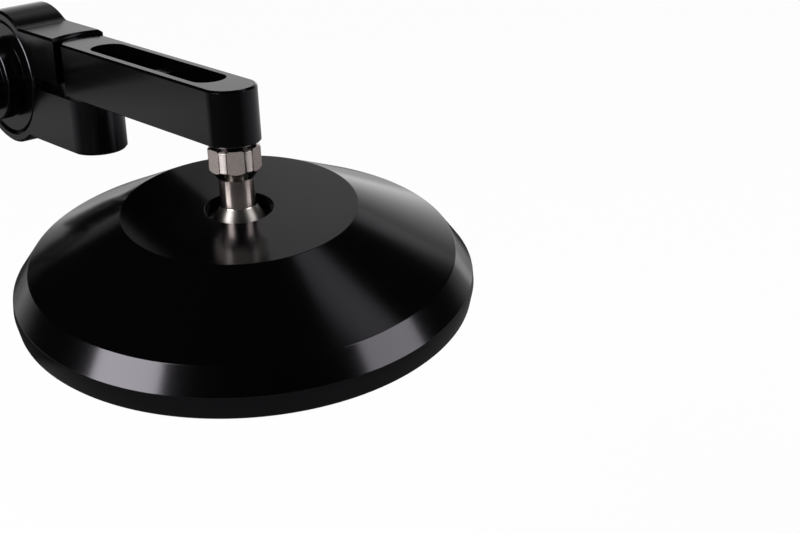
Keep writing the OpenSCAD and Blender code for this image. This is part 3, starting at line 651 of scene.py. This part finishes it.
class MIRROR_OT_clamp(bpy.types.Operator):
    """Deburrs the edges of the split clamp"""

    bl_idname = "mirror.clamp"
    bl_label = "Clamp"

    def execute(self, context):
        piece = merged_copy("clamp_body", "clamp_milled")
        break_edges(context.scene.mirror_detail.edge_break * 0.3)
        settle(piece)
        finish(piece, "clamp", "black_aluminium", "clamp_body", "Satin Black Anodised")
        return {"FINISHED"}


class MIRROR_OT_plug(bpy.types.Operator):
    """Deburrs the plug and its wedge nut"""

    bl_idname = "mirror.plug"
    bl_label = "Plug"

    def execute(self, context):
        detail = context.scene.mirror_detail
        for node, slot, material in (("bar_plug", "black_aluminium", "Turned Black Plug"),
                                     ("wedge_nut", "bare_aluminium", "Bare Aluminium")):
            piece = merged_copy(node, node + "_turned")
            break_edges(detail.edge_break * 0.6)
            settle(piece)
            finish(piece, "plug", slot, node, material)
        return {"FINISHED"}


class MIRROR_OT_plug_bolt(bpy.types.Operator):
    """Makes the plug's socket screw, with its knurled head, key socket and thread"""

    bl_idname = "mirror.plug_bolt"
    bl_label = "Plug Bolt"

    def execute(self, context):
        detail = context.scene.mirror_detail
        crest, end, head_r = 2.95 * MM, 49.9 * MM, 5 * MM
        root = crest - detail.thread_depth
        piece = turn("plug_bolt_threaded", [
            (4.6 * MM, -6 * MM), (head_r, -5.6 * MM), (head_r, -0.3 * MM), (4.8 * MM, 0.0), (crest, 0.0),
            (crest, 24.5 * MM), (root, 25.2 * MM), (root, end - 0.7 * MM), (root - 0.5 * MM, end)],
            detail.knurl_count * 2)
        knurl(piece, head_r, -5 * MM, -MM, 0.16 * MM)
        hex_socket(piece, 5 * MM, -7 * MM, -3 * MM)
        ridge = thread_ridge("ridge", crest, detail.thread_depth, detail.bolt_pitch,
                             25.4 * MM, 24.2 * MM)
        join(piece, ridge)
        settle(piece, (0.0, 10 * MM, 0.0), (QUARTER_TURN, 0.0, 0.0))
        finish(piece, "plug", "steel", "plug_bolt", "Zinc Plated Steel")
        return {"FINISHED"}


class MIRROR_OT_stage(bpy.types.Operator):
    """Builds the pale floor, its gloss, the backdrop, the lamps and the camera"""

    bl_idname = "mirror.stage"
    bl_label = "Stage"

    def execute(self, context):
        stage = context.scene.mirror_stage
        white = self.pale("Pale Floor", stage.floor_colour, seen=0.955, mirrored=lambda tree: 0.45)
        self.disc("floor", FLOOR_Z, white)

        # A sheet under the head that shows only in the part's gloss
        glow = self.pale("Gloss Sheet", stage.floor_colour, seen=0.0, mirrored=self.sheet_glow)
        sheet = self.disc("gloss_sheet", SHEET_Z, glow)
        sheet.visible_camera = sheet.visible_diffuse = sheet.visible_shadow = False

        bpy.ops.object.select_all(action="DESELECT")
        bpy.ops.mesh.primitive_plane_add(size=1.0)
        wall = context.object
        wall.name = "backdrop"
        height = WALL_HEIGHT + SHEET_Z - FLOOR_Z
        away = Vector((math.cos(WALL_WAY), math.sin(WALL_WAY), 0.0))
        left = Vector((-away.y, away.x, 0.0))
        wall.scale = (WALL_WIDTH, height, 1.0)
        wall.rotation_euler = (QUARTER_TURN, 0.0, WALL_WAY - QUARTER_TURN)
        wall.location = (Vector((STUD_X, MID_Y, FLOOR_Z + height / 2))
                         + away * WALL_DISTANCE + left * WALL_SHIFT)
        bpy.ops.object.transform_apply(location=True, rotation=True, scale=True)
        grey = (0.3, 0.3, 0.3)
        wall.data.materials.append(self.pale("Pale Backdrop", grey, seen=0.9, mirrored=self.wall_glow))

        # Azimuth and elevation in degrees, distance, width and height in metres, brightness
        for name, *values in (
                ("left_softbox", -91.5, 25, 1.2, 0.68, 0.85, stage.left_box),
                ("right_softbox", 38, 25, 1.2, 0.64, 0.85, stage.right_box),
                ("high_softbox", 67, 61.5, 1.3, 0.2, 0.38, 0.58),
                ("side_panel", 158, 37, 1.5, 0.32, 0.2, 0.1),
                ("back_panel", 126.5, 39.5, 1.5, 0.93, 0.68, stage.back_box)):
            self.softbox(name, *values)
        top = self.softbox("top_light", 148, 80, 1.6, 2.2, 2.2, stage.top_level)
        top.visible_glossy = False

        self.sky(context)
        self.camera(context)
        context.scene.view_settings.view_transform = "Standard"
        return {"FINISHED"}

    def sky(self, context):
        """A dark studio with a pale horizon, which the camera sees as plain white"""
        world = bpy.data.worlds.new("Studio")
        context.scene.world = world
        world.use_nodes = True
        tree = world.node_tree
        background = tree.nodes["Background"]
        path = put(tree, "ShaderNodeLightPath")
        coords = put(tree, "ShaderNodeTexCoord")
        parts = put(tree, "ShaderNodeSeparateXYZ")
        tree.links.new(coords.outputs["Generated"], parts.inputs[0])
        low = put(tree, "ShaderNodeMapRange",
                  {"From Min": 0.16, "From Max": 0.02, "To Min": 0.006, "To Max": 0.7})
        tree.links.new(parts.outputs["Z"], low.inputs["Value"])
        level = put(tree, "ShaderNodeMix", data_type="FLOAT")
        by_camera, hidden, seen = level.inputs[0], level.inputs[2], level.inputs[3]
        tree.links.new(path.outputs["Is Camera Ray"], by_camera)
        tree.links.new(low.outputs[0], hidden)
        seen.default_value = 1.0
        background.inputs["Color"].default_value = WHITE
        tree.links.new(level.outputs[0], background.inputs["Strength"])

    def disc(self, name, height, material):
        """A wide round stage piece at one height"""
        bpy.ops.object.select_all(action="DESELECT")
        bpy.ops.mesh.primitive_circle_add(vertices=96, radius=5.0, fill_type="NGON",
                                          location=(0.0, 0.0, height))
        piece = bpy.context.object
        piece.name = name
        bpy.ops.object.transform_apply(location=True, rotation=True, scale=True)
        piece.data.materials.append(material)
        return piece

    def pale(self, name, colour, seen, mirrored):
        """A matt colour that the camera sees lifted to white, and the part's gloss by a share of its own"""
        material, tree, shader = new_material(name, Base_Color=(*colour, 1.0), Roughness=0.9)
        shader.inputs["Specular IOR Level"].default_value = 0.0
        shader.inputs["Emission Color"].default_value = WHITE
        path = put(tree, "ShaderNodeLightPath")
        glossy = maths(tree, "ADD", path.outputs["Is Glossy Ray"], path.outputs["Is Transmission Ray"])
        lift = maths(tree, "ADD", maths(tree, "MULTIPLY", path.outputs["Is Camera Ray"], seen),
                     maths(tree, "MULTIPLY", glossy, mirrored(tree)))
        tree.links.new(lift, shader.inputs["Emission Strength"])
        return material

    def wall_glow(self, tree):
        """The backdrop's brightness in the part's gloss: it fades upwards and to the camera's left"""
        stage = bpy.context.scene.mirror_stage
        coords = put(tree, "ShaderNodeTexCoord")
        parts = put(tree, "ShaderNodeSeparateXYZ")
        tree.links.new(coords.outputs["Object"], parts.inputs[0])
        rise = put(tree, "ShaderNodeMapRange", {"From Min": WALL_HEIGHT - 0.05, "From Max": 0.0})
        tree.links.new(parts.outputs["Z"], rise.inputs["Value"])
        fade = maths(tree, "MULTIPLY", maths(tree, "POWER", rise.outputs[0], 1.7), stage.wall_level)
        right = WALL_WAY - QUARTER_TURN
        along = put(tree, "ShaderNodeVectorMath", operation="DOT_PRODUCT")
        tree.links.new(coords.outputs["Object"], along.inputs[0])
        along.inputs[1].default_value = (math.cos(right), math.sin(right), 0.0)
        side = put(tree, "ShaderNodeMapRange", {"From Min": -0.85, "From Max": -0.35, "To Min": 0.3})
        tree.links.new(along.outputs["Value"], side.inputs["Value"])
        return maths(tree, "MULTIPLY", fade, side.outputs[0])

    def sheet_glow(self, tree):
        """The gloss sheet's brightness: pale bands on the camera's left and light behind the part"""
        coords = put(tree, "ShaderNodeTexCoord")
        way = put(tree, "ShaderNodeVectorMath", operation="SUBTRACT")
        tree.links.new(coords.outputs["Object"], way.inputs[0])
        under_arm = (0.06, 0.01, CAD_BOX[0][2])
        way.inputs[1].default_value = under_arm
        unit = put(tree, "ShaderNodeVectorMath", operation="NORMALIZE")
        tree.links.new(way.outputs[0], unit.inputs[0])
        reach = put(tree, "ShaderNodeVectorMath", operation="LENGTH")
        tree.links.new(way.outputs[0], reach.inputs[0])

        def ramp(socket, low, high, level):
            """A rise from nothing at low to the level at high"""
            band = put(tree, "ShaderNodeMapRange", {"From Min": low, "From Max": high, "To Max": level})
            tree.links.new(socket, band.inputs["Value"])
            return band.outputs[0]

        def towards(azimuth, low, high, level):
            """A rise towards an azimuth, over the cosine of the angle to it"""
            aim = math.radians(azimuth)
            dot = put(tree, "ShaderNodeVectorMath", operation="DOT_PRODUCT")
            tree.links.new(unit.outputs[0], dot.inputs[0])
            dot.inputs[1].default_value = (math.cos(aim), math.sin(aim), 0.0)
            return ramp(dot.outputs["Value"], low, high, level)

        def reached(low, high, level):
            """A rise over the distance from a place under the arm, in metres"""
            return ramp(reach.outputs["Value"], low, high, level)

        near = maths(tree, "ADD", reached(0.262, 0.245, 0.42), reached(0.208, 0.193, 0.58))
        bands = maths(tree, "ADD", maths(tree, "MULTIPLY", near, reached(0.115, 0.135, 1.0)),
                      reached(0.27, 0.288, 1.8))
        left = maths(tree, "MULTIPLY", towards(-141, 0.86, 1.0, 0.28), bands)
        behind = maths(tree, "MULTIPLY", towards(115, -0.35, 1.0, 0.5),
                       maths(tree, "ADD", reached(0.12, 0.18, 1.0), reached(0.35, 1.0, 1.2)))
        around = maths(tree, "MULTIPLY", towards(0, 0.3, 0.45, 0.1), reached(0.13, 0.11, 1.0))
        return maths(tree, "ADD", maths(tree, "ADD", left, behind), around)

    def softbox(self, name, azimuth, elevation, distance, width, height, level):
        """A rectangular lamp that faces the ball from an azimuth and elevation"""
        round_z, rise = math.radians(azimuth), math.radians(elevation)
        flat = math.cos(rise)
        way = Vector((math.cos(round_z) * flat, math.sin(round_z) * flat, math.sin(rise)))
        bpy.ops.object.light_add(type="AREA", location=BALL + way * distance)
        lamp = bpy.context.object
        lamp.name = name
        lamp.rotation_euler = (-way).to_track_quat("-Z", "Y").to_euler()
        lamp.data.shape = "RECTANGLE"
        lamp.data.size = width
        lamp.data.size_y = height
        # In watts, so that a mirror would show the lamp at its level, where white is 1
        lamp.data.energy = 4.0 * level * width * height
        lamp.visible_camera = False
        return lamp

    def camera(self, context):
        """The camera that was fitted to the photograph"""
        bpy.ops.object.camera_add()
        camera = context.object
        camera.name = "camera"
        camera.data.lens = 90.0
        camera.data.sensor_width = 36.0
        camera.data.sensor_fit = "HORIZONTAL"
        camera.data.clip_start = 0.01
        camera.data.clip_end = 50.0
        right = Vector((0.61000203, 0.79068857, -0.05204898))
        down = Vector((0.23439391, -0.24279626, -0.94133388))
        ahead = Vector((-0.75693924, 0.56201562, -0.33343879))
        turned = Matrix((right, -down, -ahead)).transposed().to_4x4()
        camera.matrix_world = Matrix.Translation((0.4597869, -0.2148658, 0.1195367)) @ turned
        context.scene.camera = camera


class MIRROR_PT_panel(bpy.types.Panel):
    """Lists the mirror's building steps"""

    bl_label = "Bar End Mirror"
    bl_space_type = "VIEW_3D"
    bl_region_type = "UI"
    bl_category = "Mirror"

    def draw(self, context):
        for operator in STEPS:
            self.layout.operator(operator.bl_idname)


STEPS = (MIRROR_OT_finishes, MIRROR_OT_housing, MIRROR_OT_ball_stud, MIRROR_OT_arm, MIRROR_OT_clamp,
         MIRROR_OT_plug, MIRROR_OT_plug_bolt, MIRROR_OT_stage)
CLASSES = (MirrorFinish, MirrorDetail, MirrorStage, *STEPS, MIRROR_PT_panel)


def register():
    for item in CLASSES:
        bpy.utils.register_class(item)
    bpy.types.Scene.mirror_finish = PointerProperty(type=MirrorFinish)
    bpy.types.Scene.mirror_detail = PointerProperty(type=MirrorDetail)
    bpy.types.Scene.mirror_stage = PointerProperty(type=MirrorStage)


def unregister():
    del bpy.types.Scene.mirror_stage
    del bpy.types.Scene.mirror_detail
    del bpy.types.Scene.mirror_finish
    for item in reversed(CLASSES):
        bpy.utils.unregister_class(item)


def main():
    register()
    for step in STEPS:
        group, action = step.bl_idname.split(".")
        getattr(getattr(bpy.ops, group), action)()


if __name__ == "__main__":
    main()
